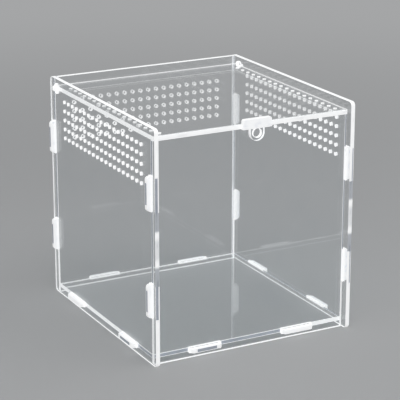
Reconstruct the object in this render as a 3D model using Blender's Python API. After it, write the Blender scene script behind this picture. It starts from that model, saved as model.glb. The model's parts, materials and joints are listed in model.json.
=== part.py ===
# Acrylic terrarium: six laser-cut sheets that slot together, with a lid on two ears
# Metres, +Z up. X runs across the front, Y runs from the front (-) to the back (+).
# The origin is on the table, under the middle of the box.

import math

import bpy
from mathutils import Euler, Vector

# Driving dimensions of the box
WIDTH = 0.200                  # over the outer faces of the two side panels
DEPTH = 0.220                  # length of a side panel from front edge to back edge
HEIGHT = 0.216                 # height of the side panels and of the back panel
SHEET = 0.004                  # thickness of the acrylic
SIDE_CORNER_RADIUS = 0.004     # rounding of the side panels' corners
UPRIGHT_CORNER_RADIUS = 0.001  # rounding of the front and back panels' corners
FIT = 0.0003                   # gap between sheets that touch
FRONT_SET_BACK = 0.007         # front panel, behind the side panels' front edges
BACK_SET_IN = 0.004            # back panel, ahead of the side panels' back edges
FLOOR_CLEARANCE = 0.005        # underside of the floor above the table
LID_RECESS = 0.0075            # top of the lid below the top of the side panels
LID_SIDE_CLEARANCE = 0.0005    # lid to each side panel

# Tabs that pass through slots and stand proud outside
TAB_LENGTH = 0.031             # along the joint
TAB_PROUD = 0.004              # past the outer face
TAB_CORNER_RADIUS = 0.003
UPRIGHT_TAB_SPACING = 0.0975   # between the two tabs on an upright edge
UPRIGHT_TAB_RISE = 0.001       # their middle above the middle of the panel
WIDTH_TAB_SPACING = 0.095      # between the floor's two tabs in the front or the back
DEPTH_TAB_SPACING = 0.113      # between the floor's two tabs in a side panel

# Lid hinge: a flat ear at each back corner turns in a round hole in the side panel
HINGE_HOLE_DIAMETER = 0.010
HINGE_TO_BACK_PANEL = 0.006    # axis ahead of the back panel's inner face
LID_SWING_CLEARANCE = 0.0004   # the lid's back edge to the back panel as it swings
EAR_PROUD = 0.0025             # past the side panel's outer face
EAR_CORNER_RADIUS = 0.0015
LID_CORNER_RADIUS = 0.002

# Pull plate on the lid's front edge, with a lock hole in its lug
PULL_WIDTH = 0.0285
PULL_RISE = 0.005              # above the lid
PULL_CORNER_RADIUS = 0.002
LUG_WIDTH = 0.014
LUG_DROP = 0.0042              # from the lid's underside down to the lock hole's centre
LOCK_HOLE_DIAMETER = 0.0084

# Vent holes
VENT_DIAMETER = 0.0035
VENT_ROWS = 5
VENT_ROW_PITCH = 0.0087
SIDE_VENT_PITCH = 0.009
SIDE_VENT_DROP = 0.0192        # top row below the top of a side panel
SIDE_VENT_MARGIN = 0.020       # least distance from the lid's ends to the end holes
BACK_VENT_PITCH = 0.00845
BACK_VENT_DROP = 0.027
BACK_VENT_MARGIN = 0.018
LID_VENT_PITCH = 0.0105
LID_VENT_INSET = 0.0075        # from the lid's side edge to the row of holes
LID_VENT_FRONT_MARGIN = 0.010  # least distance from the lid's front edge to the first hole
LID_VENT_BACK_MARGIN = 0.018   # least distance from the last hole to the lid's back edge

# Facets
VENT_SIDES = 8
HOLE_SIDES = 32
ARC_STEP = math.radians(22.5)
SAME_POINT = 1e-6              # points nearer than this are one

# Places that follow from the sizes above
SIDE_INNER_X = WIDTH / 2 - SHEET
PANEL_HALF_WIDTH = SIDE_INNER_X - FIT
FRONT_Y = -DEPTH / 2
BACK_Y = DEPTH / 2
FRONT_PANEL_Y = FRONT_Y + FRONT_SET_BACK + SHEET / 2
BACK_PANEL_Y = BACK_Y - BACK_SET_IN - SHEET / 2
FLOOR_Z = FLOOR_CLEARANCE + SHEET / 2
FLOOR_FRONT_Y = FRONT_PANEL_Y + SHEET / 2 + FIT
FLOOR_BACK_Y = BACK_PANEL_Y - SHEET / 2 - FIT
FLOOR_MIDDLE_Y = (FLOOR_FRONT_Y + FLOOR_BACK_Y) / 2
UPRIGHT_TAB_MIDDLE = HEIGHT / 2 + UPRIGHT_TAB_RISE
LID_Z = HEIGHT - LID_RECESS - SHEET / 2
FRONT_PANEL_TOP = LID_Z - SHEET / 2 - FIT
HINGE_Y = BACK_PANEL_Y - SHEET / 2 - HINGE_TO_BACK_PANEL
PULL_Y = FRONT_Y + SHEET / 2
LID_FRONT_Y = FRONT_Y + SHEET + FIT
LID_SWING_RADIUS = HINGE_TO_BACK_PANEL - LID_SWING_CLEARANCE
LID_BACK_Y = HINGE_Y + math.sqrt(LID_SWING_RADIUS ** 2 - (SHEET / 2) ** 2)
LID_HALF_WIDTH = SIDE_INNER_X - LID_SIDE_CLEARANCE
EAR_WIDTH = math.sqrt((HINGE_HOLE_DIAMETER - 2 * FIT) ** 2 - SHEET ** 2)
TAB_REACH = FIT + SHEET + TAB_PROUD
SLOT_LENGTH = TAB_LENGTH + 2 * FIT
SLOT_WIDTH = SHEET + 2 * FIT

# How a sheet drawn flat in X and Y is turned to stand in the box
LYING = (0, 0, 0)
FACING_FRONT = (math.radians(90), 0, 0)
FACING_SIDE = (math.radians(90), 0, math.radians(90))


def clear_scene():
    """Remove every object, so that the file holds only this model."""
    for thing in list(bpy.data.objects):
        bpy.data.objects.remove(thing, do_unlink=True)


def acrylic(name):
    """One sheet's own material: clear cast acrylic, polished on its faces."""
    material = bpy.data.materials.new(name)
    material.use_nodes = True
    shader = material.node_tree.nodes["Principled BSDF"]
    shader.inputs["Base Color"].default_value = (0.93, 0.96, 0.97, 1)
    shader.inputs["Roughness"].default_value = 0.05
    shader.inputs["Metallic"].default_value = 0
    shader.inputs["IOR"].default_value = 1.49
    shader.inputs["Transmission Weight"].default_value = 0.9
    material.diffuse_color = (0.75, 0.88, 0.92, 1)
    return material


def pair(spacing, middle=0.0):
    """Two centres, spacing apart, either side of the middle."""
    return [middle - spacing / 2, middle + spacing / 2]


def evenly(low, high, pitch):
    """As many centres as fit at the pitch between two limits, either side of the middle."""
    count = max(1, math.floor((high - low) / pitch) + 1)
    return [(low + high) / 2 + (i - (count - 1) / 2) * pitch for i in range(count)]


def circle(x, y, diameter, sides):
    """Corner points of a round hole, turned so that a flat side faces up."""
    points = []
    for i in range(sides):
        angle = math.pi * (2 * i + 1) / sides
        points.append(Vector((x + math.cos(angle) * diameter / 2, y + math.sin(angle) * diameter / 2)))
    return points


def slot(x, y, length, width):
    """Corner points of a slot, length along X and width along Y."""
    corners = [(-1, -1), (1, -1), (1, 1), (-1, 1)]
    return [Vector((x + i * length / 2, y + j * width / 2)) for i, j in corners]


def vents(columns, rows):
    """Vent holes at every crossing of the columns and the rows."""
    return [circle(x, y, VENT_DIAMETER, VENT_SIDES) for x in columns for y in rows]


def vent_rows(drop):
    """Heights of the vent rows, the top one a drop below the top edge."""
    return [HEIGHT - drop - i * VENT_ROW_PITCH for i in range(VENT_ROWS)]


def round_corner(before, corner, after, radius):
    """Points of the arc that rounds one corner, within half of its shorter side."""
    back = before - corner
    ahead = after - corner
    half_angle = back.angle(ahead) / 2
    reach = min(radius / math.tan(half_angle), back.length / 2, ahead.length / 2)
    radius = reach * math.tan(half_angle)
    turns_left = ahead.x * back.y - ahead.y * back.x > 0
    start = corner + back.normalized() * reach
    centre = corner + (back.normalized() + ahead.normalized()).normalized() * radius / math.sin(half_angle)
    sweep = math.pi - 2 * half_angle
    steps = max(1, round(sweep / ARC_STEP))
    spoke = start - centre
    points = []
    for i in range(steps + 1):
        angle = sweep * i / steps * (1 if turns_left else -1)
        x = spoke.x * math.cos(angle) - spoke.y * math.sin(angle)
        y = spoke.x * math.sin(angle) + spoke.y * math.cos(angle)
        points.append(centre + Vector((x, y)))
    return points


def outline(corners):
    """Closed outline through (point, radius) corners, anticlockwise."""
    points = []
    for i, (corner, radius) in enumerate(corners):
        before = corners[i - 1][0]
        after = corners[(i + 1) % len(corners)][0]
        run = round_corner(before, corner, after, radius) if radius > 0 else [corner]
        if points and (run[0] - points[-1]).length < SAME_POINT:
            run = run[1:]
        points += run
    return points


def tab(centre, along, length, reach, radius):
    """Four corners of a tab that stands out to the right of its edge's direction."""
    outward = Vector((along.y, -along.x))
    root = centre - along * length / 2
    tip = root + outward * reach
    return [(root, 0), (tip, radius), (tip + along * length, radius), (root + along * length, 0)]


def sheet_outline(low, high, radii, tabs):
    """Outline of a rectangle with tabs on its edges.

    low and high are opposite corners, radii are the rounding at the bottom and at
    the top, and tabs maps an edge to (centres, length, reach, radius), the centres
    being X on the bottom and top edges and Y on the right and left ones.
    """
    (x0, y0), (x1, y1) = low, high
    bottom, top = radii
    edges = [("bottom", (x0, y0), (1, 0), bottom), ("right", (x1, y0), (0, 1), bottom),
             ("top", (x1, y1), (-1, 0), top), ("left", (x0, y1), (0, -1), top)]
    corners = []
    for edge, start, direction, radius in edges:
        start = Vector(start)
        along = Vector(direction)
        corners.append((start, radius))
        centres, length, reach, tab_radius = tabs.get(edge, ([], 0, 0, 0))
        spots = [Vector((c, start.y)) if along.x else Vector((start.x, c)) for c in centres]
        for spot in sorted(spots, key=along.dot):
            corners += tab(spot, along, length, reach, tab_radius)
    return outline(corners)


def cut_sheet(name, edge, holes, place, turn, group):
    """A sheet of acrylic: its outline and its holes as one filled flat curve."""
    curve = bpy.data.curves.new(name, "CURVE")
    curve.dimensions = "2D"
    curve.fill_mode = "BOTH"
    curve.extrude = SHEET / 2
    for points in [edge] + holes:
        spline = curve.splines.new("POLY")
        spline.points.add(len(points) - 1)
        for point, corner in zip(spline.points, points):
            point.co = (corner.x, corner.y, 0, 1)
        spline.use_cyclic_u = True
    sheet = bpy.data.objects.new(name, curve)
    sheet.location = place
    sheet.rotation_euler = Euler(turn)
    curve.materials.append(acrylic(name))
    group.objects.link(sheet)
    return sheet


def side_panel(name, side, group):
    """A side panel, drawn with Y across and Z up, its holes for all that it carries."""
    radii = (SIDE_CORNER_RADIUS, SIDE_CORNER_RADIUS)
    edge = sheet_outline((FRONT_Y, 0), (BACK_Y, HEIGHT), radii, {})
    holes = []
    for z in pair(UPRIGHT_TAB_SPACING, UPRIGHT_TAB_MIDDLE):
        holes += [slot(y, z, SLOT_WIDTH, SLOT_LENGTH) for y in (FRONT_PANEL_Y, BACK_PANEL_Y)]
    floor_tabs = pair(DEPTH_TAB_SPACING, FLOOR_MIDDLE_Y)
    holes += [slot(y, FLOOR_Z, SLOT_LENGTH, SLOT_WIDTH) for y in floor_tabs]
    holes.append(circle(HINGE_Y, LID_Z, HINGE_HOLE_DIAMETER, HOLE_SIDES))
    columns = evenly(LID_FRONT_Y + SIDE_VENT_MARGIN, LID_BACK_Y - SIDE_VENT_MARGIN, SIDE_VENT_PITCH)
    holes += vents(columns, vent_rows(SIDE_VENT_DROP))
    place = (side * (WIDTH / 2 - SHEET / 2), 0, 0)
    return cut_sheet(name, edge, holes, place, FACING_SIDE, group)


def upright_panel(name, y, top, vent_holes, group):
    """The front or the back panel, tabbed into the side panels and slotted for the floor."""
    centres = pair(UPRIGHT_TAB_SPACING, UPRIGHT_TAB_MIDDLE)
    tabs = (centres, TAB_LENGTH, TAB_REACH, TAB_CORNER_RADIUS)
    radii = (UPRIGHT_CORNER_RADIUS, UPRIGHT_CORNER_RADIUS)
    edge = sheet_outline((-PANEL_HALF_WIDTH, 0), (PANEL_HALF_WIDTH, top), radii,
                         {"right": tabs, "left": tabs})
    floor_slots = [slot(x, FLOOR_Z, SLOT_LENGTH, SLOT_WIDTH) for x in pair(WIDTH_TAB_SPACING)]
    return cut_sheet(name, edge, floor_slots + vent_holes, (0, y, 0), FACING_FRONT, group)


def floor_panel(group):
    """The floor, with two tabs through each of the four upright sheets."""
    size = (TAB_LENGTH, TAB_REACH, TAB_CORNER_RADIUS)
    across = (pair(WIDTH_TAB_SPACING), *size)
    along = (pair(DEPTH_TAB_SPACING, FLOOR_MIDDLE_Y), *size)
    edge = sheet_outline((-PANEL_HALF_WIDTH, FLOOR_FRONT_Y), (PANEL_HALF_WIDTH, FLOOR_BACK_Y), (0, 0),
                         {"bottom": across, "top": across, "left": along, "right": along})
    return cut_sheet("floor_panel", edge, [], (0, 0, FLOOR_Z), LYING, group)


def lid_panel(hinge, group):
    """The lid, drawn about its hinge axis, with an ear at each back corner."""
    ears = ([0], EAR_WIDTH, LID_SIDE_CLEARANCE + SHEET + EAR_PROUD, EAR_CORNER_RADIUS)
    edge = sheet_outline((-LID_HALF_WIDTH, LID_FRONT_Y - HINGE_Y), (LID_HALF_WIDTH, LID_BACK_Y - HINGE_Y),
                         (LID_CORNER_RADIUS, 0), {"left": ears, "right": ears})
    columns = pair(2 * (LID_HALF_WIDTH - LID_VENT_INSET))
    first, last = LID_FRONT_Y + LID_VENT_FRONT_MARGIN, LID_BACK_Y - LID_VENT_BACK_MARGIN
    rows = evenly(first - HINGE_Y, last - HINGE_Y, LID_VENT_PITCH)
    lid = cut_sheet("lid_panel", edge, vents(columns, rows), (0, 0, 0), LYING, group)
    lid.parent = hinge
    return lid


def pull_plate(hinge, group):
    """The plate on the lid's front edge: a finger bar above and a round lug below."""
    half, bar_top, bar_bottom = PULL_WIDTH / 2, SHEET / 2 + PULL_RISE, -SHEET / 2
    lug_half = LUG_WIDTH / 2
    lug_bottom = bar_bottom - LUG_DROP - lug_half
    corners = [((-lug_half, lug_bottom), lug_half), ((lug_half, lug_bottom), lug_half),
               ((lug_half, bar_bottom), 0), ((half, bar_bottom), 0),
               ((half, bar_top), PULL_CORNER_RADIUS), ((-half, bar_top), PULL_CORNER_RADIUS),
               ((-half, bar_bottom), 0), ((-lug_half, bar_bottom), 0)]
    edge = outline([(Vector(corner), radius) for corner, radius in corners])
    lock_hole = circle(0, bar_bottom - LUG_DROP, LOCK_HOLE_DIAMETER, HOLE_SIDES)
    pull = cut_sheet("lid_pull_plate", edge, [lock_hole], (0, PULL_Y - HINGE_Y, 0), FACING_FRONT, group)
    pull.parent = hinge
    return pull


def build():
    """Cut the sheets and set them in the box."""
    clear_scene()
    group = bpy.data.collections.new("acrylic_terrarium")
    bpy.context.scene.collection.children.link(group)

    side_panel("left_side_panel", -1, group)
    side_panel("right_side_panel", 1, group)
    upright_panel("front_panel", FRONT_PANEL_Y, FRONT_PANEL_TOP, [], group)
    vent_reach = PANEL_HALF_WIDTH - BACK_VENT_MARGIN
    columns = evenly(-vent_reach, vent_reach, BACK_VENT_PITCH)
    upright_panel("back_panel", BACK_PANEL_Y, HEIGHT, vents(columns, vent_rows(BACK_VENT_DROP)), group)
    floor_panel(group)

    hinge = bpy.data.objects.new("lid_hinge", None)
    hinge.location = (0, HINGE_Y, LID_Z)
    group.objects.link(hinge)
    lid_panel(hinge, group)
    pull_plate(hinge, group)


build()
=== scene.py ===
# %% [markdown]
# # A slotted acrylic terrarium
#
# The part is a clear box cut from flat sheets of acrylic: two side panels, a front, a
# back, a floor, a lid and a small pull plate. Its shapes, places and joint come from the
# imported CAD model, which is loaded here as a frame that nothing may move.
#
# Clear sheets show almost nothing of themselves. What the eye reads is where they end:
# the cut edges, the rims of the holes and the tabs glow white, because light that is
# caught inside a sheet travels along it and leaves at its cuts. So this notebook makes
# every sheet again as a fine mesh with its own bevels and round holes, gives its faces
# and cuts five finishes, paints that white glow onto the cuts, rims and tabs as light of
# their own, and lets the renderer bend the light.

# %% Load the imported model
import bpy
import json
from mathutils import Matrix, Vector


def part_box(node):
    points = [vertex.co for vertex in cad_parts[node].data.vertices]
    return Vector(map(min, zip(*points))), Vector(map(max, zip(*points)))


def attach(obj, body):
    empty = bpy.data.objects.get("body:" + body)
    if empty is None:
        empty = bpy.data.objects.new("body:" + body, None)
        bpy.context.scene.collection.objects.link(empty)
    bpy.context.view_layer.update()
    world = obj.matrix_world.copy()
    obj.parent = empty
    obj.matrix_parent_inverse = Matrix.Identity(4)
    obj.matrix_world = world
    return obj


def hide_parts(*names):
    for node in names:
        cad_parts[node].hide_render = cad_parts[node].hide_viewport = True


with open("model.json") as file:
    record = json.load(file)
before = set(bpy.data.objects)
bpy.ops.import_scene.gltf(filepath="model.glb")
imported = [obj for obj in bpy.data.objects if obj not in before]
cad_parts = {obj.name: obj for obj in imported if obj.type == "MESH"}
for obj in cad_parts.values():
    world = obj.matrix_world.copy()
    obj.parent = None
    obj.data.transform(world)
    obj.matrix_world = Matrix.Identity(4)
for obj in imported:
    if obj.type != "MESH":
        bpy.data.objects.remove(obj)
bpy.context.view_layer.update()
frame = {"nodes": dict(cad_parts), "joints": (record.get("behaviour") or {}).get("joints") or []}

# %% [markdown]
# ## Tools
# A sheet has thousands of points here. A Python loop over them would be slow and long to
# read, so numpy works them out as whole arrays, and Blender's own modules turn the arrays
# into meshes, objects and materials. One helper of Blender's, the Delaunay
# triangulation, fills a flat face that has holes in it.

# %% Modules
import json
import math

import bpy
import numpy as np
from mathutils import Vector
from mathutils.geometry import delaunay_2d_cdt

print("nodes:", sorted(frame["nodes"]))

# %% [markdown]
# ## Where the sheets lie
# On the real box every sheet is 4 mm thick, so a sheet's place is one number, the middle
# of its thickness. It could be typed in, but a later change of the CAD model would then
# leave the looks behind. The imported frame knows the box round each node, so the places
# are read from there. All lengths are in metres, with X to the right, Y to the back and
# Z up.

# %% Places of the sheets
def middle(node, axis):
    """Middle of a node's box along an axis, 0 to 2 for X to Z: half of low plus high."""
    low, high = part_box(node)
    return (low[axis] + high[axis]) / 2


SHEET = 0.004
HALF_SHEET = SHEET / 2
SIDE_X = middle("right_side_panel", 0)
OUTER_X = SIDE_X + HALF_SHEET
INNER_X = SIDE_X - HALF_SHEET
FRONT_Y = middle("front_panel", 1)
BACK_Y = middle("back_panel", 1)
PULL_Y = middle("lid_pull_plate", 1)
FLOOR_Z = middle("floor_panel", 2)
LID_Z = middle("lid_panel", 2)
LID_FRONT, LID_BACK = (corner.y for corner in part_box("lid_panel"))
FRONT_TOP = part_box("front_panel")[1].z
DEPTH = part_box("left_side_panel")[1].y * 2
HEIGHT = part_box("left_side_panel")[1].z
HINGE_Y = frame["joints"][0]["pos_m"][1]
print(f"box without tabs: {2 * OUTER_X * 1000:.0f} x {DEPTH * 1000:.0f} x {HEIGHT * 1000:.0f} mm")

# %% [markdown]
# ## Outlines
# A laser cuts each real sheet along a drawn line, which is straight between corners and
# round at them. A curve object could hold that line, and a Bevel modifier could round a
# plain rectangle. Here an outline is an array of X and Y, made from corners that each
# have a radius, because an array can be offset, measured and marked, and the cuts need
# all three when they get their bevels and finishes.

# %% Rounded corners
ARC_STEP = math.radians(11.25)
SAME = 1e-7                    # places closer than this count as one


def rounded(corners):
    """Closed outline through rows of x, y, radius.

    The arc at a corner touches both sides. Its ends lie radius / tan(h) from the corner
    and its centre radius / sin(h) along the bisector, where h is half of the corner's
    angle, and it turns through a half turn less 2 h.
    """
    corners = np.array(corners, float)
    runs = []
    for before, (x, y, radius), after in zip(np.roll(corners, 1, 0), corners, np.roll(corners, -1, 0)):
        at = np.array([x, y])
        if radius == 0:
            runs.append(at[None])
            continue
        back, ahead = before[:2] - at, after[:2] - at
        back, ahead = back / np.linalg.norm(back), ahead / np.linalg.norm(ahead)
        half = math.acos(np.clip(back @ ahead, -1, 1)) / 2
        bisector = (back + ahead) / np.linalg.norm(back + ahead)
        centre = at + bisector * radius / math.sin(half)
        sweep = math.pi - 2 * half
        turn = np.linspace(0, sweep, max(2, round(sweep / ARC_STEP) + 1))
        turn *= math.copysign(1, ahead[0] * back[1] - ahead[1] * back[0])
        spoke = at + back * radius / math.tan(half) - centre
        across = np.array([-spoke[1], spoke[0]])
        runs.append(centre + np.outer(np.cos(turn), spoke) + np.outer(np.sin(turn), across))
    points = np.concatenate(runs)
    apart = np.linalg.norm(points - np.roll(points, 1, 0), axis=1) > SAME
    return points[apart]


print("points of a square with four round corners:",
      len(rounded([(0, 0, 0.1), (1, 0, 0.1), (1, 1, 0.1), (0, 1, 0.1)])))

# %% [markdown]
# ## Holes
# Slots take the tabs, small vents let air through, and two larger round holes take the
# lid's ears and a lock. Boolean cutters could make them, but a hundred of those in one
# thin sheet are slow and leave long thin faces. In a drawing for a laser a hole is just
# one more loop, and so it is here. Holes run clockwise and outlines anticlockwise, so
# the material is always on a loop's left.
#
# A cut is never quite sharp at the sheet's faces. It has a hair of a chamfer, which is
# wider where the laser lingers and melts the acrylic, so each hole comes with the width
# of its own bevel.

# %% Rings and slots
ARRIS = 0.0002                 # width of the chamfer along most cuts
MELT = 0.0005                  # the same round a slot
BURN = 0.0003                  # the same round a vent
ROUND_SIDES = 40


def ring(x, y, diameter, sides=ROUND_SIDES, bevel=ARRIS):
    """Round hole and its bevel: the centre plus radius times (cos, -sin) of even turns."""
    turn = 2 * np.pi * (np.arange(sides) + 0.5) / sides
    return np.array([x, y]) + diameter / 2 * np.stack([np.cos(turn), -np.sin(turn)], 1), bevel


def slot(x, y, length, width):
    """Slot and its bevel: the centre plus or minus half of the length and the width."""
    corners = np.array([(-1, -1), (-1, 1), (1, 1), (1, -1)])
    return np.array([x, y]) + corners * [length / 2, width / 2], MELT


print("points of a round hole:", len(ring(0, 0, 2)[0]), "and of a slot:", len(slot(0, 0, 2, 1)[0]))

# %% Vents
VENT = 0.0035                  # mean diameter
VENT_WAIST = 0.0004            # how much narrower a vent is between its bevels
VENT_SIDES = 16
VENT_ROWS = 5
VENT_ROW_PITCH = 0.0087


def vents(columns, rows):
    """A small ring at every crossing of columns and rows."""
    return [ring(x, y, VENT - VENT_WAIST, VENT_SIDES, BURN) for x in columns for y in rows]


def vent_rows(drop):
    """Heights of an upright sheet's rows: the top edge less the drop, less whole pitches."""
    return HEIGHT - drop - VENT_ROW_PITCH * np.arange(VENT_ROWS)


def spread(count, pitch, centre=0.0):
    """Places a pitch apart: the centre plus pitch times whole steps less their mean."""
    return centre + pitch * (np.arange(count) - (count - 1) / 2)


print("three places, 10 apart:", spread(3, 10))

# %% [markdown]
# ## Tabs
# No screw or bracket holds the real box. Its sheets have tabs, 31 mm long, which pass
# through slots in their neighbours and stand 4 mm proud with rounded tips. A tab could
# be a small box joined on, but on the real sheet it is part of the same cut, so here the
# outline itself steps out and back in again.

# %% Sizes and places of the tabs
FIT = 0.0003                   # clearance all round a tab in its slot
TAB_LENGTH = 0.031
TAB_PROUD = 0.004
TAB_RADIUS = 0.003
TAB_RISE = 0.001               # the tabs on upright edges stand this far above the middle
EDGE_TABS = 2                  # tabs on an edge
UPRIGHT_PITCH, WIDTH_PITCH, DEPTH_PITCH = 0.0975, 0.095, 0.113
TAB_NECK = FIT + SHEET         # from a tab's root to where it leaves its slot
TAB_REACH = TAB_NECK + TAB_PROUD
SLOT_LENGTH = TAB_LENGTH + 2 * FIT
SLOT_WIDTH = SHEET + 2 * FIT
UPRIGHT_TABS = spread(EDGE_TABS, UPRIGHT_PITCH, HEIGHT / 2 + TAB_RISE)
WIDTH_TABS = spread(EDGE_TABS, WIDTH_PITCH)
DEPTH_TABS = spread(EDGE_TABS, DEPTH_PITCH, (FRONT_Y + BACK_Y) / 2)
TAB = (TAB_LENGTH, TAB_NECK, TAB_REACH, TAB_RADIUS)
print("reach of a tab:", round(TAB_REACH * 1000, 2), "mm")

# %% Rectangles with tabs
TIP_FRAME = 0.0026             # white border at the two ends of a tab's tip


def tabbed(low, high, radii, tabs):
    """Rectangle's outline, anticlockwise, with tabs on its edges.

    tabs maps an edge to (centres, length, neck, reach, radius). A tab steps out of its
    edge by reach, and the neck is where it leaves the far side of its slot. Two points
    on its tip, short of the ends by the radius and the tip's border, bound the window
    that shows there. On a short tab they are an eighth of its length off the middle.
    """
    (x0, y0), (x1, y1) = low, high
    bottom, top = radii
    edges = [("bottom", (x0, y0), (1, 0), bottom), ("right", (x1, y0), (0, 1), bottom),
             ("top", (x1, y1), (-1, 0), top), ("left", (x0, y1), (0, -1), top)]
    corners = []
    for edge, start, along, radius in edges:
        start, along = np.array(start, float), np.array(along, float)
        out = np.array([along[1], -along[0]])
        corners.append((*start, radius))
        centres, length, neck, reach, tab_radius = tabs.get(edge, ([], 0, 0, 0, 0))
        half, window = length / 2, max(length / 2 - tab_radius - TIP_FRAME, length / 8)
        path = [(-half, 0, 0), (-half, neck, 0), (-half, reach, tab_radius), (-window, reach, 0),
                (window, reach, 0), (half, reach, tab_radius), (half, neck, 0), (half, 0, 0)]
        for spot in sorted(float(along @ (c, c)) for c in centres):
            foot = start + along * (spot - along @ start)
            corners += [(*(foot + along * shift + out * step), bend) for shift, step, bend in path]
    return rounded(corners)


def necks(loop, axis, value):
    """Pairs of outline points where a tab leaves its slot, one pair for each tab.

    These are the points whose coordinate on that axis is plus or minus the value,
    sorted by side and then along the edge.
    """
    found = np.flatnonzero(np.abs(np.abs(loop[:, axis]) - value) < SAME)
    side = np.sign(loop[found, axis])
    order = np.lexsort((loop[found, 1 - axis], side))
    return found[order].reshape(-1, 2)


print("points of a square with one tab:", len(tabbed((-1, -1), (1, 1), (0, 0), {"top": ([0], *TAB)})))

# %% [markdown]
# ## From outline to sheet
# A real sheet is its outline carried straight across the thickness, with a fine bevel at
# each face. An extruded curve with a Bevel modifier could do that, but with one width of
# bevel for all. So a small profile is carried round every loop instead: up the cut in
# five strips, stepping in at both faces. Each strip is a row of faces of its own, so a
# cut can be white at its borders and clear at its core, as the real ones are.

# %% Steps into the material
def mitres(loop):
    """For each point, the step into the material that moves both its sides in by one.

    With n and m the left normals of the two sides, it is (n + m) / (1 + n . m).
    """
    ahead = np.roll(loop, -1, 0) - loop
    ahead /= np.linalg.norm(ahead, axis=1)[:, None]
    here = np.stack([-ahead[:, 1], ahead[:, 0]], 1)
    before = np.roll(here, 1, 0)
    return (here + before) / (1 + (here * before).sum(1))[:, None]


print("steps in from a square's corners:", mitres(np.array([(0.0, 0.0), (1, 0), (1, 1), (0, 1)])).tolist())

# %% Profile of a cut
STRIPS = 5                     # chamfer, border, core, border, chamfer
CORE_STRIP = 2
FRAME = 0.0006                 # white border above and below the clear core
EVEN_CORE = (FRAME - HALF_SHEET, HALF_SHEET - FRAME)


def profile(bevel, core):
    """Inset and height of six rows, for points whose bevels are given.

    The rows go up from one face to the other. The core, between the third and the
    fourth, reaches from the first to the second height in core, or takes half of what a
    wide bevel leaves.
    """
    none = np.zeros_like(bevel)
    straight = HALF_SHEET - bevel
    low, high = (np.where(bevel > ARRIS, side * straight / 2, end) for side, end in zip((-1, 1), core))
    insets = np.array([bevel, none, none, none, none, bevel])
    heights = np.array([none - HALF_SHEET, -straight, low, high, straight, none + HALF_SHEET])
    return insets, heights


print("heights of a cut's rows, mm:", (1000 * profile(np.array([ARRIS]), EVEN_CORE)[1].ravel()).round(2))

# %% [markdown]
# ## Faces with open holes
# The two faces of a sheet are flat, and a side panel's has 102 holes. A single polygon
# can't have holes, so the face is divided into triangles between the loops. Delaunay
# triangulation finds well-shaped ones and keeps every loop as a line, but it covers the
# holes too, and those triangles are taken out again.

# %% Fill between the loops
MERGE = 1e-8                   # the triangulation joins points closer than this


def filled(face, edges, loop_of):
    """Triangles, anticlockwise, that fill a flat face and leave its holes open.

    Every hole is convex, so a triangle covers one when its three corners lie on one
    loop and that loop isn't the outline, number 0. A triangle is clockwise when the
    cross product of two of its sides is negative, and is then turned over.
    """
    _, _, faces, origins, _, _ = delaunay_2d_cdt(face.tolist(), edges.tolist(), [], 1, MERGE)
    triangles = np.array(origins)[:, 0][np.array(faces)]
    loops = loop_of[triangles]
    covers_a_hole = (loops[:, 0] > 0) & (np.ptp(loops, axis=1) == 0)
    triangles = triangles[~covers_a_hole]
    a, b, c = (face[triangles[:, i]] for i in range(3))
    clockwise = (b - a)[:, 0] * (c - a)[:, 1] - (b - a)[:, 1] * (c - a)[:, 0] < 0
    triangles[clockwise] = triangles[clockwise][:, ::-1]
    return triangles


def next_points(sizes):
    """For each point of loops with these sizes, the one after it on its own loop."""
    here = np.arange(sizes.sum())
    first = np.repeat(np.cumsum(sizes) - sizes, sizes)
    last = first + np.repeat(sizes, sizes) - 1
    return np.where(here < last, here + 1, first)


print("points after those of a triangle and a square:", next_points(np.array([3, 4])))

# %% [markdown]
# ## Finishes by place
# One sheet shows five finishes: polished faces, cut edges with a painted glow, the rims
# of holes, brighter with more of it, the milky parts of a tab that stand proud, painted
# white with a glow, and windows in some cuts, where the clear core is painted grey for
# the dim depth seen through it. They could be painted with masks in one material, but a
# mask is soft at its border and the real change is sharp. So each face of the mesh has
# the slot of its own finish, and a mark is a box on the drawing: the outline's cuts
# inside it change to the mark's finish.

# %% Marks on the cuts
CLEAR, CUT, RIM, PROUD, WINDOW = range(5)
NEAR = 0.0005                  # a mark reaches this far beyond the cuts that it takes
FAR = 1.0                      # beyond every sheet


def cut_finishes(flat, after, outline_size, marks):
    """Finish of every face of the cuts, a row of faces for each strip.

    A face is inside a mark (finish, low corner, high corner) when its middle is, which
    is half of the sum of its two points. A window takes only the core.
    """
    finishes = np.full((STRIPS, len(flat)), RIM)
    finishes[:, :outline_size] = CUT
    middles = (flat + flat[after])[:outline_size] / 2
    for finish, low, high in marks:
        inside = np.flatnonzero(((middles > low) & (middles < high)).all(1))
        finishes[CORE_STRIP if finish == WINDOW else slice(None), inside] = finish
    return finishes


FOOT = (RIM, (-FAR, -FAR), (FAR, NEAR))
print("finishes of a cut:", {"edge": CUT, "rim": RIM, "window": WINDOW})

# %% Unrolled cuts
def unrolled(flat, after, heights):
    """UV of each corner of the cuts' faces: metres travelled along the loops, and height.

    The distance to a point is the sum of the lengths of all the sides before it.
    """
    length = np.linalg.norm(flat[after] - flat, axis=1)
    start = np.cumsum(length) - length
    travelled = np.tile(np.stack([start, start + length, start + length, start], 1), (STRIPS, 1))
    return np.stack([travelled, heights], 2).reshape(-1, 2)


print("a UV unit is a metre, so a sheet's cuts are", round(HALF_SHEET * 2, 4), "high")

# %% [markdown]
# ## The builder
# All seven sheets come from one function. It takes the drawing, stands it up and puts it
# in its place in the mesh itself, so that the object stays at the origin and turns
# about the lid's joint as the CAD node does. The piece then hides the CAD node that it
# stands for and rides on its body, and each face carries the number of the material slot
# that it takes its finish from.

# %% Mesh into the scene
SHARP = math.radians(30)       # an edge that bends more than this isn't shaded smooth


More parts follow.
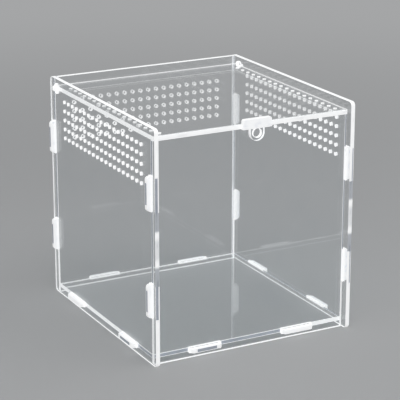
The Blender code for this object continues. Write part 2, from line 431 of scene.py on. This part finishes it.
def add_piece(name, body, points, faces, finishes, uvs):
    """A new piece that stands for the CAD node of that name and rides on the body."""
    mesh = bpy.data.meshes.new(name)
    mesh.from_pydata(points.tolist(), [], faces)
    mesh.polygons.foreach_set("material_index", finishes.astype(np.int32))
    mesh.uv_layers.new(name="UVMap").uv.foreach_set("vector", uvs.astype(np.float32).ravel())
    mesh.polygons.foreach_set("use_smooth", np.ones(len(faces), bool))
    mesh.set_sharp_from_angle(angle=SHARP)
    mesh.update()
    piece = bpy.data.objects.new("clear_" + name, mesh)
    bpy.context.scene.collection.objects.link(piece)
    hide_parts(name)
    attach(piece, body)
    size = " x ".join(f"{1000 * side:.1f}" for side in np.ptp(points, axis=0))
    print(f"{piece.name}: {len(faces)} faces, {size} mm")
    return piece


print("an edge is sharp over", round(math.degrees(SHARP)), "degrees")

# %% Sheet
TURNS = {"lying": np.eye(3),
         "facing front": np.array([(1, 0, 0), (0, 0, -1), (0, 1, 0)]),
         "facing side": np.array([(0, 0, 1), (1, 0, 0), (0, 1, 0)])}


def sheet(name, body, turn, place, outline, holes=(), proud=None, seams=(), marks=(), core=EVEN_CORE):
    """One sheet of acrylic, from its outline and its holes, each with its bevel.

    Point i of profile row k is loop[i] + inset[k, i] * mitre[i], at height[k, i], then
    turned and moved to its place. proud says which triangles of the faces lie outside
    the box, from their middles. seams are pairs of outline points that the faces are
    divided between, so that no triangle is on both sides of the change.
    """
    loops = [outline, *(loop for loop, _ in holes)]
    sizes = np.array([len(loop) for loop in loops])
    bevel = np.repeat([ARRIS, *(width for _, width in holes)], sizes)
    flat = np.concatenate(loops)
    inward = np.concatenate([mitres(loop) for loop in loops])
    insets, heights = profile(bevel, core)
    rows = flat + inward * insets[:, :, None]
    points = np.concatenate([rows, heights[:, :, None]], 2).reshape(-1, 3)

    count = len(flat)
    here, after = np.arange(count), next_points(sizes)
    row = np.arange(STRIPS)[:, None] * count
    walls = np.stack([here + row, after + row, after + row + count, here + row + count], 2).reshape(-1, 4)

    edges = np.concatenate([np.stack([here, after], 1), np.reshape(seams, (-1, 2)).astype(int)])
    fill = filled(rows[0], edges, np.repeat(np.arange(len(sizes)), sizes))
    outside = np.zeros(len(fill), bool) if proud is None else proud(rows[0][fill].mean(1))
    on_faces = np.where(outside, PROUD, CLEAR)
    over, under = fill + count * STRIPS, fill[:, ::-1]

    finishes = np.concatenate([cut_finishes(flat, after, sizes[0], marks).ravel(), on_faces, on_faces])
    uvs = np.concatenate([unrolled(flat, after, points[:, 2][walls]), points[np.ravel([over, under]), :2]])
    faces = walls.tolist() + over.tolist() + under.tolist()
    return add_piece(name, body, points @ TURNS[turn].T + place, faces, finishes, uvs)


print("ways that a sheet can stand:", list(TURNS))

# %% [markdown]
# ## Shader maths in Python
# A material is a small program whose steps are nodes. They could be added and linked one
# by one, but that hides the formula. So one class wraps a node's output and adds a Math
# node for every sign in an expression, in either order, and one method makes any other
# node from its type, its settings and the values or links of its sockets.

# %% Socket wrapper
class Wire:
    """The output of a node, with arithmetic that adds Math nodes."""

    def __init__(self, finish, socket):
        self.finish, self.socket = finish, socket

    def maths(self, operation, *values):
        return self.finish.node("ShaderNodeMath", {"operation": operation}, dict(enumerate(values)))

    def __add__(self, other):
        return self.maths("ADD", self, other)

    def __sub__(self, other):
        return self.maths("SUBTRACT", self, other)

    def __rsub__(self, other):
        return self.maths("SUBTRACT", other, self)

    def __mul__(self, other):
        return self.maths("MULTIPLY", self, other)

    def __truediv__(self, other):
        return self.maths("DIVIDE", self, other)

    def __rtruediv__(self, other):
        return self.maths("DIVIDE", other, self)

    def __pow__(self, other):
        return self.maths("POWER", self, other)

    def __rpow__(self, other):
        return self.maths("POWER", other, self)

    def __lt__(self, other):
        return self.maths("LESS_THAN", self, other)

    def __gt__(self, other):
        """The reflected form of less than: 0.5 < wire is wire > 0.5."""
        return self.maths("GREATER_THAN", self, other)

    def __abs__(self):
        return self.maths("ABSOLUTE", self)

    __radd__, __rmul__ = __add__, __mul__

    def clamped(self):
        return self.finish.node("ShaderNodeClamp", {}, {"Value": self})

    def smooth(self, low, high):
        """0 below low, 1 above high, and an S-curve between them."""
        return self.finish.node("ShaderNodeMapRange", {"interpolation_type": "SMOOTHSTEP"},
                                {"Value": self, "From Min": low, "From Max": high})


print("signs that a wire knows:", "+ - * / ** < > abs")

# %% Node maker
BLEND_LOW, BLEND_HIGH = 6, 7   # a Mix node's colour inputs, which share names with others
BLEND_RESULT = 2
MIX_FIRST, MIX_SECOND = 1, 2   # a Mix Shader's two shaders, which share one name


class Finish:
    """A material and the nodes that make it."""

    def __init__(self, name):
        self.material = bpy.data.materials.new(name)
        self.material.use_nodes = True
        self.tree = self.material.node_tree
        self.tree.nodes.clear()

    def node(self, kind, settings, inputs, output=0):
        """Any node: its settings first, then the values or links of its sockets."""
        made = self.tree.nodes.new(kind)
        for key, value in settings.items():
            setattr(made, key, value)
        for key, value in inputs.items():
            if isinstance(value, Wire):
                self.tree.links.new(value.socket, made.inputs[key])
            else:
                made.inputs[key].default_value = value
        return Wire(self, made.outputs[output])

    def read(self, kind, inputs, *outputs):
        """Several outputs of one node."""
        first = self.node(kind, {}, inputs, outputs[0])
        return [Wire(self, first.socket.node.outputs[name]) for name in outputs]

    def place(self):
        """Object coordinates in metres, as a vector and as X, Y and Z."""
        where = self.node("ShaderNodeTexCoord", {}, {}, "Object")
        return where, self.read("ShaderNodeSeparateXYZ", {0: where}, "X", "Y", "Z")

    def on_cut(self):
        """Metres along a cut and metres from its middle, from the UV map."""
        uv = self.node("ShaderNodeTexCoord", {}, {}, "UV")
        return self.read("ShaderNodeSeparateXYZ", {0: uv}, "X", "Y")

    def noise(self, where, scale, detail=2.0, roughness=0.5):
        inputs = {"Vector": where, "Scale": scale, "Detail": detail, "Roughness": roughness}
        return self.node("ShaderNodeTexNoise", {"noise_dimensions": "3D"}, inputs, "Fac")

    def blend(self, share, low, high):
        """A colour between two others."""
        inputs = {"Factor": share, BLEND_LOW: (*low, 1), BLEND_HIGH: (*high, 1)}
        return self.node("ShaderNodeMix", {"data_type": "RGBA"}, inputs, BLEND_RESULT)

    def mixed(self, share, first, second):
        """One shader that goes over into another."""
        return self.node("ShaderNodeMixShader", {}, {"Fac": share, MIX_FIRST: first, MIX_SECOND: second})

    def bump(self, height, distance):
        return self.node("ShaderNodeBump", {}, {"Height": height, "Distance": distance}, "Normal")

    def surface(self, shader):
        """Ends the material at its output, a node with nothing to wrap."""
        out = self.tree.nodes.new("ShaderNodeOutputMaterial")
        self.tree.links.new(shader.socket, out.inputs["Surface"])
        print(f"{self.material.name}: {len(self.tree.nodes)} nodes")
        return self.material


trial = Finish("trial")
mask = 1.0 - trial.noise(trial.place()[0], 5.0) * 2.0
print("1 - noise * 2 takes", len(trial.tree.nodes), "nodes and ends in", mask.socket.node.operation)
bpy.data.materials.remove(trial.material)

# %% [markdown]
# ## Clear faces
# Cast acrylic bends light almost as glass does. Its faces are polished, but handling
# leaves faint smears on them, and casting leaves a slow ripple that makes reflections
# swim a little. A see-through shader without bending would be quicker, but then the
# sheets would lose the bright lines where they are seen end on. So this is true clear
# material, whose roughness and colour follow the smears and whose bump is the ripple.
#
# True glass also stops the lamps and would leave the inside of the box black. Rays on
# their way to a lamp therefore pass straight through with a small loss, as they nearly
# do in a real thin sheet.

# %% Clear face finish
INDEX = 1.49                   # how much acrylic bends light


def clear_faces():
    finish = Finish("clear_acrylic")
    where, _ = finish.place()
    smear = finish.noise(where, 22.0, 4.0, 0.6).smooth(0.52, 0.74)
    ripple = finish.noise(where, 14.0, 1.0, 0.4)
    tint = finish.blend(smear, (0.985, 0.995, 1.0), (0.96, 0.975, 0.985))
    glass = finish.node("ShaderNodeBsdfPrincipled", {}, {
        "Base Color": tint, "Roughness": smear * 0.02, "IOR": INDEX, "Transmission Weight": 1.0,
        "Normal": finish.bump(ripple, 0.00004)}, "BSDF")
    passing = finish.node("ShaderNodeBsdfTransparent", {}, {"Color": (0.95, 0.97, 0.975, 1)}, "BSDF")
    lamp_ray = finish.node("ShaderNodeLightPath", {}, {}, "Is Shadow Ray")
    return finish.surface(finish.mixed(lamp_ray, glass, passing))


clear_face = clear_faces()

# %% [markdown]
# ## Cut edges
# The laser leaves a cut that is finely ridged from face to face. Light from inside the
# sheet scatters there, so every cut looks white, whichever way it faces. Rough glass
# could carry that light to the cuts, but only with far more bounces than a render can
# afford, so a glow of its own stands for it. The ridges are a bump on the UV map, where
# one axis runs with the outline and the other across the thickness.
#
# A cut at the end of a long sheet is also a peephole into its depth. The front ends of
# the side panels are white where they look at the white wall of a slot, and greyer
# where they look at nothing, so those stretches are shaded by height.

# %% Ridges and patches
RIDGES = (2600.0, 90.0)        # waves in a metre, along a cut and across it
PATCHES = (60.0, 300.0)


def cut_texture(finish, along, across):
    """Two noises on a cut: fine ridges across it, and slow patches along it."""
    def stretched(waves, detail, roughness):
        inputs = {"X": along * waves[0], "Y": across * waves[1]}
        return finish.noise(finish.node("ShaderNodeCombineXYZ", {}, inputs, "Vector"), 1.0, detail, roughness)

    return stretched(RIDGES, 2.0, 0.6), stretched(PATCHES, 3.0, 0.55)


print("a ridge is", round(1000 / RIDGES[0], 2), "mm wide, a patch", round(1000 / PATCHES[0], 1), "mm long")

# %% Cut edge finish
BETWEEN_SLOTS = 0.0335         # half of the height between an upright end's two slots
DARK_FROM = (0.0145, 0.018)    # from the middle, where the dark stretch fades in
DIM_UP_TO = (0.007, 0.012)     # from the middle, where the dim centre fades out


def cut_edges():
    finish = Finish("laser_cut_edge")
    along, across = finish.on_cut()
    ridges, patches = cut_texture(finish, along, across)
    _, (_, y, z) = finish.place()
    from_middle = abs(z - UPRIGHT_TABS.mean())
    upright_end = (y < NEAR - DEPTH / 2) * (from_middle < BETWEEN_SLOTS)
    dark = from_middle.smooth(*DARK_FROM) * 0.75
    dim = (1.0 - from_middle.smooth(*DIM_UP_TO)) * 0.3
    core = 1.0 - (abs(across) / HALF_SHEET).smooth(0.2, 0.75)
    # painted shade: the core of a cut darker in slow patches, where it looks into the sheet
    core_shade = core * patches.smooth(0.45, 0.75) * 0.25
    shade = (core_shade + ridges.smooth(0.55, 0.8) * 0.1 + upright_end * (dark + dim)).clamped()
    white = finish.blend(shade, (0.66, 0.67, 0.675), (0.33, 0.36, 0.40))
    # painted light: the glow stands for the light that the sheet carries to its cuts
    glow = finish.blend(shade, (0.54, 0.54, 0.54), (0.02, 0.025, 0.035))
    frosted_with_painted_glow = finish.node("ShaderNodeBsdfPrincipled", {}, {
        "Base Color": white, "Roughness": 0.4, "IOR": INDEX, "Emission Color": glow,
        "Emission Strength": 1.0, "Normal": finish.bump(ridges, 0.00003)}, "BSDF")
    return finish.surface(frosted_with_painted_glow)


cut_edge = cut_edges()

# %% [markdown]
# ## Rims of the holes
# A vent is seen at a slant, so what shows is the far wall of a tube only 3.5 mm wide.
# On the real sheet it is lit through the acrylic round it, and so are the slots and the
# cuts that lie against another sheet or on the table. The cut edge's finish could serve
# here too, but it would look dull inside so narrow a hole. So rims have one of their
# own, with more glow to stand for that light and a little soot from the laser.

# %% Rim finish
def hole_rims():
    finish = Finish("hole_rim")
    where, _ = finish.place()
    soot = finish.noise(where, 420.0).smooth(0.6, 0.85)
    white = finish.blend(soot, (0.12, 0.12, 0.12), (0.08, 0.085, 0.09))
    # painted light: a strong glow for the light that reaches a rim through the acrylic
    glow = finish.blend(soot, (0.9, 0.905, 0.91), (0.66, 0.67, 0.69))
    frosted_with_painted_glow = finish.node("ShaderNodeBsdfPrincipled", {}, {
        "Base Color": white, "Roughness": 0.4, "IOR": INDEX, "Emission Color": glow,
        "Emission Strength": 1.0}, "BSDF")
    return finish.surface(frosted_with_painted_glow)


hole_rim = hole_rims()

# %% [markdown]
# ## Proud parts of the tabs
# Where a tab stands proud of the box, light leaves it on all sides at once, and even its
# polished faces look milky. Clear material would show the pale floor through it, which
# the real one doesn't, so that light is painted: these faces are white with a glow of
# their own and a clear coat. The coat keeps the gloss of a polished face, and a slow
# cloud keeps it from looking like paint.

# %% Proud face finish
def proud_faces():
    finish = Finish("tab_face")
    where, _ = finish.place()
    cloud = finish.noise(where, 260.0, 3.0, 0.6).smooth(0.5, 0.8)
    # painted light: white and a glow for the light that leaves a proud tab on all sides
    white = finish.blend(cloud, (0.68, 0.69, 0.695), (0.56, 0.59, 0.63))
    glow = finish.blend(cloud, (0.52, 0.52, 0.525), (0.36, 0.37, 0.40))
    white_with_painted_glow = finish.node("ShaderNodeBsdfPrincipled", {}, {
        "Base Color": white, "Roughness": 0.2, "IOR": INDEX, "Emission Color": glow,
        "Emission Strength": 1.0, "Coat Weight": 0.4}, "BSDF")
    return finish.surface(white_with_painted_glow)


tab_face = proud_faces()

# %% [markdown]
# ## Windows in the cuts
# Seen straight on, some cuts are white only along their borders. The core between them
# looks into the clear sheet behind and shows a blue-grey band: in the tabs' tips, on the
# upright ends beside the slots and in parts of the floor's edge. A clear core could be
# rendered as it is, but it would show the bright studio floor. So the core is an opaque
# grey of its own, painted shade in the tone of the sheet's depth, with the laser's ridges
# still on it.

# %% Window finish
def cut_windows():
    finish = Finish("cut_window")
    ridges, patches = cut_texture(finish, *finish.on_cut())
    shade = (patches.smooth(0.35, 0.7) * 0.8 + ridges.smooth(0.5, 0.8) * 0.2).clamped()
    grey = finish.blend(shade, (0.50, 0.53, 0.59), (0.34, 0.37, 0.42))
    # not clear glass: an opaque grey, painted shade for the view into the sheet
    clear = finish.node("ShaderNodeBsdfPrincipled", {}, {
        "Base Color": grey, "Roughness": 0.12, "IOR": INDEX, "Emission Color": (0.05, 0.055, 0.065, 1),
        "Emission Strength": 1.0, "Normal": finish.bump(ridges, 0.00002)}, "BSDF")
    return finish.surface(clear)


cut_window = cut_windows()

# %% [markdown]
# ## Side panels
# The two side panels carry the whole box. Each has two slots for the front, two for the
# back, two for the floor, a round hole for the lid's ear and five rows of vents. One
# panel could be modelled and mirrored, but a mirror turns faces inside out. Both have
# the same drawing, so it is simply built twice, at two values of X.
#
# The outline has extra points where the slots end, so that windows in the upright ends
# can start there. The clear core of a cut seems to lie nearer to one face than to the
# other, because the eye looks into it at a slant, so each panel has its own.

# %% Outline and holes of a side panel
SIDE_RADIUS = 0.004
HINGE_HOLE = 0.010
SIDE_VENTS, SIDE_VENT_PITCH = 19, 0.009
SIDE_VENT_DROP = 0.0192        # from the top edge to the first row
front_edge, back_edge = -DEPTH / 2, DEPTH / 2
slot_ends = np.sort(np.concatenate([UPRIGHT_TABS - TAB_LENGTH / 2, UPRIGHT_TABS + TAB_LENGTH / 2]))
side_outline = rounded([(front_edge, 0, SIDE_RADIUS), (back_edge, 0, SIDE_RADIUS),
                        *[(back_edge, z, 0) for z in slot_ends],
                        (back_edge, HEIGHT, SIDE_RADIUS), (front_edge, HEIGHT, SIDE_RADIUS),
                        *[(front_edge, z, 0) for z in slot_ends[::-1]]])
side_holes = [slot(y, z, SLOT_WIDTH, SLOT_LENGTH) for y in (FRONT_Y, BACK_Y) for z in UPRIGHT_TABS]
side_holes += [slot(y, FLOOR_Z, SLOT_LENGTH, SLOT_WIDTH) for y in DEPTH_TABS]
side_holes.append(ring(HINGE_Y, LID_Z, HINGE_HOLE))
side_columns = spread(SIDE_VENTS, SIDE_VENT_PITCH, (LID_FRONT + LID_BACK) / 2)
side_holes += vents(side_columns, vent_rows(SIDE_VENT_DROP))
print("holes in a side panel:", len(side_holes))

# %% Side panels
LEFT_CORE = (-0.0017, 0.0009)
RIGHT_CORE = (0.0004, 0.0014)
slot_windows = [(WINDOW, (front_edge - NEAR, z - TAB_LENGTH / 2), (front_edge + NEAR, z + TAB_LENGTH / 2))
                for z in UPRIGHT_TABS]
back_window = (WINDOW, (back_edge - NEAR, 0), (back_edge + NEAR, HEIGHT))
left_marks = [FOOT, *slot_windows]
pieces = [sheet("left_side_panel", "box", "facing side", (-SIDE_X, 0, 0), side_outline, side_holes,
                marks=left_marks, core=LEFT_CORE),
          sheet("right_side_panel", "box", "facing side", (SIDE_X, 0, 0), side_outline, side_holes,
                marks=[*left_marks, back_window], core=RIGHT_CORE)]

# %% [markdown]
# ## Front and back panels
# Both stand between the side panels, with two tabs at each upright edge and two slots
# near the foot for the floor. The back is as tall as the side panels and has vents of
# its own. The front stops under the lid. The same few lines draw both, because they
# differ only in height, holes and marks.
#
# A tab's tip shows a window, and so does each upright edge from its lower tab up. The
# back's upright edges lie against the side panels, which light them, so the rest of
# those has the rim's finish.

# %% Marks on upright edges and tips
HALF = INNER_X - FIT           # half of the width of the front, the back and the floor
TIP = OUTER_X + TAB_PROUD
TIP_WINDOW = TAB_LENGTH / 2 - TAB_RADIUS - TIP_FRAME + NEAR
upright_tips = [(WINDOW, (x - NEAR, z - TIP_WINDOW), (x + NEAR, z + TIP_WINDOW))
                for x in (-TIP, TIP) for z in UPRIGHT_TABS]
window_foot = UPRIGHT_TABS[0] - TAB_LENGTH / 2
upright_windows = [(WINDOW, (x - NEAR, window_foot), (x + NEAR, FAR)) for x in (-HALF, HALF)]
against_sides = [(RIM, (x - NEAR, 0), (x + NEAR, FAR)) for x in (-HALF, HALF)]
print("marks on the back panel:", 1 + len(upright_tips + upright_windows + against_sides))

# %% Front and back panels
UPRIGHT_RADIUS = 0.001
BACK_CORE = (-0.0017, 0.0010)
BACK_VENTS, BACK_VENT_PITCH = 19, 0.00845
BACK_VENT_DROP = 0.027
floor_slots = [slot(x, FLOOR_Z, SLOT_LENGTH, SLOT_WIDTH) for x in WIDTH_TABS]
back_vents = vents(spread(BACK_VENTS, BACK_VENT_PITCH), vent_rows(BACK_VENT_DROP))


def upright_sheet(name, y, top, vent_holes, marks, core):
    """A rectangle from the foot to the top, as wide as the inside, tabbed at both ends."""
    tabs = {edge: (UPRIGHT_TABS, *TAB) for edge in ("right", "left")}
    outline = tabbed((-HALF, 0), (HALF, top), (UPRIGHT_RADIUS, UPRIGHT_RADIUS), tabs)
    return sheet(name, "box", "facing front", (0, y, 0), outline, [*floor_slots, *vent_holes],
                 lambda at: np.abs(at[:, 0]) > OUTER_X, necks(outline, 0, OUTER_X),
                 [FOOT, *upright_tips, *marks], core)


back_marks = against_sides + upright_windows
pieces += [upright_sheet("front_panel", FRONT_Y, FRONT_TOP, [], upright_windows, EVEN_CORE),
           upright_sheet("back_panel", BACK_Y, HEIGHT, back_vents, back_marks, BACK_CORE)]

# %% [markdown]
# ## Floor
# The floor hangs 5 mm above the table on eight tabs, two through each upright sheet. It
# is drawn about the box's own origin, so a tab at the front and one at the back need no
# shift. Part of its front edge, the end of its left one and all of its right one look
# into a long clear depth, and show a grey core between two white lines. The rest of the
# left edge is lit by the side panel that it touches, as a rim is.

# %% Marks on the floor
floor_front, floor_back = FRONT_Y + HALF_SHEET + FIT, BACK_Y - HALF_SHEET - FIT
FRONT_WINDOW_END = 0.03        # X where the front edge's window stops
LEFT_WINDOW_END = -0.07        # Y where the left edge's window gives way to the rim
floor_marks = [(RIM, (-HALF - NEAR, LEFT_WINDOW_END), (-HALF + NEAR, FAR)),
               (WINDOW, (-HALF, floor_front - NEAR), (FRONT_WINDOW_END, floor_front + NEAR)),
               (WINDOW, (-HALF - NEAR, floor_front), (-HALF + NEAR, LEFT_WINDOW_END)),
               (WINDOW, (HALF - NEAR, floor_front), (HALF + NEAR, floor_back))]
floor_marks += [(WINDOW, (x - NEAR, DEPTH_TABS[0] - TIP_WINDOW), (x + NEAR, DEPTH_TABS[0] + TIP_WINDOW))
                for x in (-TIP, TIP)]
floor_marks += [(WINDOW, (WIDTH_TABS[0] - TIP_WINDOW, y - NEAR), (WIDTH_TABS[0] + TIP_WINDOW, y + NEAR))
                for y in (floor_front - TAB_REACH, floor_back + TAB_REACH)]
print("marks on the floor:", len(floor_marks))

# %% Floor
width_tabs, depth_tabs = (WIDTH_TABS, *TAB), (DEPTH_TABS, *TAB)
floor_outline = tabbed((-HALF, floor_front), (HALF, floor_back), (0, 0),
                       {"bottom": width_tabs, "top": width_tabs, "left": depth_tabs, "right": depth_tabs})
floor_middle = (floor_front + floor_back) / 2
neck_y = (floor_back - floor_front) / 2 + FIT + SHEET
floor_seams = np.concatenate([necks(floor_outline, 0, OUTER_X),
                              necks(floor_outline - [0, floor_middle], 1, neck_y)])
pieces.append(sheet("floor_panel", "box", "lying", (0, 0, FLOOR_Z), floor_outline, [],
                    lambda at: (np.abs(at[:, 0]) > OUTER_X) | (np.abs(at[:, 1] - floor_middle) > neck_y),
                    floor_seams, floor_marks))

# %% [markdown]
# ## Lid
# The lid is one sheet with a row of vents along each side. It has no hinge of metal: two
# flat ears at its back corners stand in round holes of the side panels and turn there,
# so an ear's corners just fit the hole, and its width follows from the hole's diameter
# and the sheet's thickness. The lid rides on a body of its own, and its joint swings the
# whole mesh.

# %% Lid
LID_RADIUS, EAR_RADIUS = 0.002, 0.0015
LID_CLEARANCE = 0.0005         # between the lid and a side panel
EAR_PROUD = 0.0025
EAR_WIDTH = math.sqrt((HINGE_HOLE - 2 * FIT) ** 2 - SHEET ** 2)
LID_VENTS, LID_VENT_PITCH = 18, 0.0105
LID_VENT_INSET = 0.0075        # from the lid's side to its row of vents
FIRST_VENT, LAST_VENT = 0.010, 0.018   # the least from the front edge and from the back one
lid_half = INNER_X - LID_CLEARANCE
ears = ([HINGE_Y], EAR_WIDTH, LID_CLEARANCE + SHEET, EAR_PROUD + SHEET + LID_CLEARANCE, EAR_RADIUS)
lid_outline = tabbed((-lid_half, LID_FRONT), (lid_half, LID_BACK), (LID_RADIUS, 0),
                     {"left": ears, "right": ears})
lid_rows = spread(LID_VENTS, LID_VENT_PITCH, (LID_FRONT + FIRST_VENT + LID_BACK - LAST_VENT) / 2)
lid_columns = np.array([-1, 1]) * (lid_half - LID_VENT_INSET)
pieces.append(sheet("lid_panel", "lid", "lying", (0, 0, LID_Z), lid_outline, vents(lid_columns, lid_rows),
                    lambda at: np.abs(at[:, 0]) > OUTER_X, necks(lid_outline, 0, OUTER_X),
                    [(RIM, (-FAR, LID_FRONT + NEAR), (FAR, FAR))]))

# %% [markdown]
# ## Pull plate
# A small plate is glued to the lid's front edge. Its upper part is a bar for a finger,
# milky as the tabs are and painted white with the same glow, and a round lug with a hole
# for a lock hangs below and stays clear. It could be a bar and a ring joined together,
# but the real one is a single cut, so it is one outline too. A seam across it, where bar
# and lug meet, keeps their finishes apart.

# %% Pull plate
PULL_WIDTH, PULL_RISE, PULL_RADIUS = 0.0285, 0.005, 0.002
LUG_WIDTH, LUG_DROP, LOCK_HOLE = 0.014, 0.0042, 0.0084
SEAM_GAP = 1e-5                # keeps the lock hole below the seam
half, lug = PULL_WIDTH / 2, LUG_WIDTH / 2
top, bottom = LID_Z + HALF_SHEET + PULL_RISE, LID_Z - HALF_SHEET
lug_foot = bottom - LUG_DROP - lug
pull_outline = rounded([(-lug, lug_foot, lug), (lug, lug_foot, lug), (lug, bottom, 0), (half, bottom, 0),
                        (half, top, PULL_RADIUS), (-half, top, PULL_RADIUS),
                        (-half, bottom, 0), (-lug, bottom, 0)])
lug_root = np.flatnonzero((np.abs(np.abs(pull_outline[:, 0]) - lug) < SAME)
                          & (np.abs(pull_outline[:, 1] - bottom) < SAME))
lock_hole = ring(0, bottom - LUG_DROP - SEAM_GAP, LOCK_HOLE)
pieces.append(sheet("lid_pull_plate", "lid", "facing front", (0, PULL_Y, 0), pull_outline, [lock_hole],
                    lambda at: at[:, 1] > bottom, [lug_root]))

# %% [markdown]
# ## Finishes onto the sheets
# Every sheet was built with slot numbers on its faces, and still has no materials. They
# could have gone in with the mesh, but all sheets are cut from one stock, so all get the
# same five in the same order. A change of a finish then changes the whole box.

# %% Give the sheets their finishes
FINISHES = [clear_face, cut_edge, hole_rim, tab_face, cut_window]
for piece in pieces:
    for material in FINISHES:
        piece.data.materials.append(material)
print("finishes on each of", len(pieces), "sheets:", [material.name for material in FINISHES])

# %% [markdown]
# ## Studio floor
# The box stands on a plain pale surface. A square plane would end in a hard horizon,
# which clear sheets show many times over, and a curved backdrop would stand in the way
# when the box is seen from behind. So this floor is a disc that takes the sky's tone
# further out: close to the box it is matt and holds the shadows, and far off it can't
# be told from the sky. Its finish blends two shaders by the distance from the middle.

# %% Floor of the studio
SKY = (0.375, 0.38, 0.385, 1)
SPOKES = 96
RING_RADII = [0.0, 0.5, 2.0, 8.0]
FLOOR_DROP = 0.0001            # keeps the floor from showing in place of the bottom edges
FADE = (0.35, 1.5)             # metres from the middle


def disc():
    """Points and faces of a flat disc: radius times (cos, sin) on a grid of turns and radii."""
    turn, radius = np.meshgrid(np.linspace(0, 2 * np.pi, SPOKES + 1)[:-1], RING_RADII)
    points = np.stack([radius * np.cos(turn), radius * np.sin(turn), turn * 0 - FLOOR_DROP], 2).reshape(-1, 3)
    here = np.arange(SPOKES)
    after = (here + 1) % SPOKES
    row = SPOKES * np.arange(len(RING_RADII) - 1)[:, None]
    faces = np.stack([here + row, here + row + SPOKES, after + row + SPOKES, after + row], 2)
    return points, faces.reshape(-1, 4)


def fading_floor():
    finish = Finish("studio_floor")
    _, (x, y, _) = finish.place()
    far_off = ((x * x + y * y) ** 0.5).smooth(*FADE)
    matt = finish.node("ShaderNodeBsdfPrincipled", {}, {
        "Base Color": (0.45, 0.455, 0.46, 1), "Roughness": 0.9, "Specular IOR Level": 0.1}, "BSDF")
    haze = finish.node("ShaderNodeEmission", {}, {"Color": SKY, "Strength": 1.0})
    return finish.surface(finish.mixed(far_off, matt, haze))


disc_points, disc_faces = disc()
disc_mesh = bpy.data.meshes.new("studio_floor")
disc_mesh.from_pydata(disc_points.tolist(), [], disc_faces.tolist())
disc_mesh.update()
disc_mesh.materials.append(fading_floor())
studio_floor = bpy.data.objects.new("studio_floor", disc_mesh)
bpy.context.scene.collection.objects.link(studio_floor)

# %% [markdown]
# ## Lamps and sky
# Clear sheets mirror whatever is round them, so a small strong lamp would show as a
# hard spot, and one behind or low as a white patch in the lid. Three large square lamps
# give soft light instead, a strong one at the front left, one at the right and one
# above the front. All stand high, so that a view from low down finds none of them
# mirrored in the lid. The even sky lights the rest and is what the sheets reflect.

# %% Lamps
def lamp(name, size, power, place, aim=Vector((0, 0, 0.1))):
    """A square lamp, its side in metres and its power in watts, turned towards the box."""
    data = bpy.data.lights.new(name, "AREA")
    data.shape, data.size, data.energy = "SQUARE", size, power
    made = bpy.data.objects.new(name, data)
    made.location = place
    made.rotation_euler = (aim - Vector(place)).to_track_quat("-Z", "Y").to_euler()
    bpy.context.scene.collection.objects.link(made)
    print(f"{name}: {power:.0f} W, {(aim - Vector(place)).length:.2f} m away")


lamp("key_lamp", 2.0, 17.0, (-0.86, -1.0, 1.98))
lamp("fill_lamp", 1.8, 8.0, (1.34, -0.63, 1.86))
lamp("top_lamp", 1.6, 6.0, (0.18, -0.95, 2.18))

# %% Sky
world = bpy.data.worlds.new("studio_sky")
bpy.context.scene.world = world
world.use_nodes = True
sky = world.node_tree.nodes["Background"]
sky.inputs["Color"].default_value = SKY
sky.inputs["Strength"].default_value = 1.0
print("sky:", SKY[:3])

# %% [markdown]
# ## Camera
# In the photo the box is seen from its left and a little above, and its upright edges
# hardly converge, so a long lens took it from a distance. Turning a camera by eye could
# come close, but angle, distance and lens change the picture in ways that look alike.
# These numbers come from a fit of the box's corners to the photo's instead. The track
# quaternion points the camera's -Z at the target and keeps its Y up.

# %% Camera
AZIMUTH, ELEVATION = math.radians(-28.0704), math.radians(17.7339)
TARGET = Vector((0.00208, 0, 0.10814))
DISTANCE = 1.5712
LENS, SENSOR_WIDTH = 150.85, 36
back = Vector((math.sin(AZIMUTH) * math.cos(ELEVATION), -math.cos(AZIMUTH) * math.cos(ELEVATION),
               math.sin(ELEVATION)))
camera = bpy.data.objects.new("camera", bpy.data.cameras.new("camera"))
camera.data.lens, camera.data.sensor_width = LENS, SENSOR_WIDTH
camera.location = TARGET + back * DISTANCE
camera.rotation_euler = (-back).to_track_quat("-Z", "Y").to_euler()
bpy.context.scene.collection.objects.link(camera)
bpy.context.scene.camera = camera
bpy.context.scene.view_settings.view_transform = "Standard"
print("camera at, mm:", [round(v * 1000) for v in camera.location])

# %% [markdown]
# ## Light through many sheets
# A line of sight through the real box crosses several sheets, each with two surfaces
# that bend it, and mirror images add more. Blender cuts a path of light off after a few
# bounces, and what it hasn't reached by then stays black. Sheets without thickness
# would avoid that but lose their look, so the limits are raised instead.

# %% Longer light paths
BOUNCES = 24
PASSES = 32
cycles = bpy.context.scene.cycles
cycles.max_bounces = cycles.transmission_bounces = BOUNCES
cycles.transparent_max_bounces = PASSES
print("bounces:", cycles.max_bounces, "and passes through:", cycles.transparent_max_bounces)
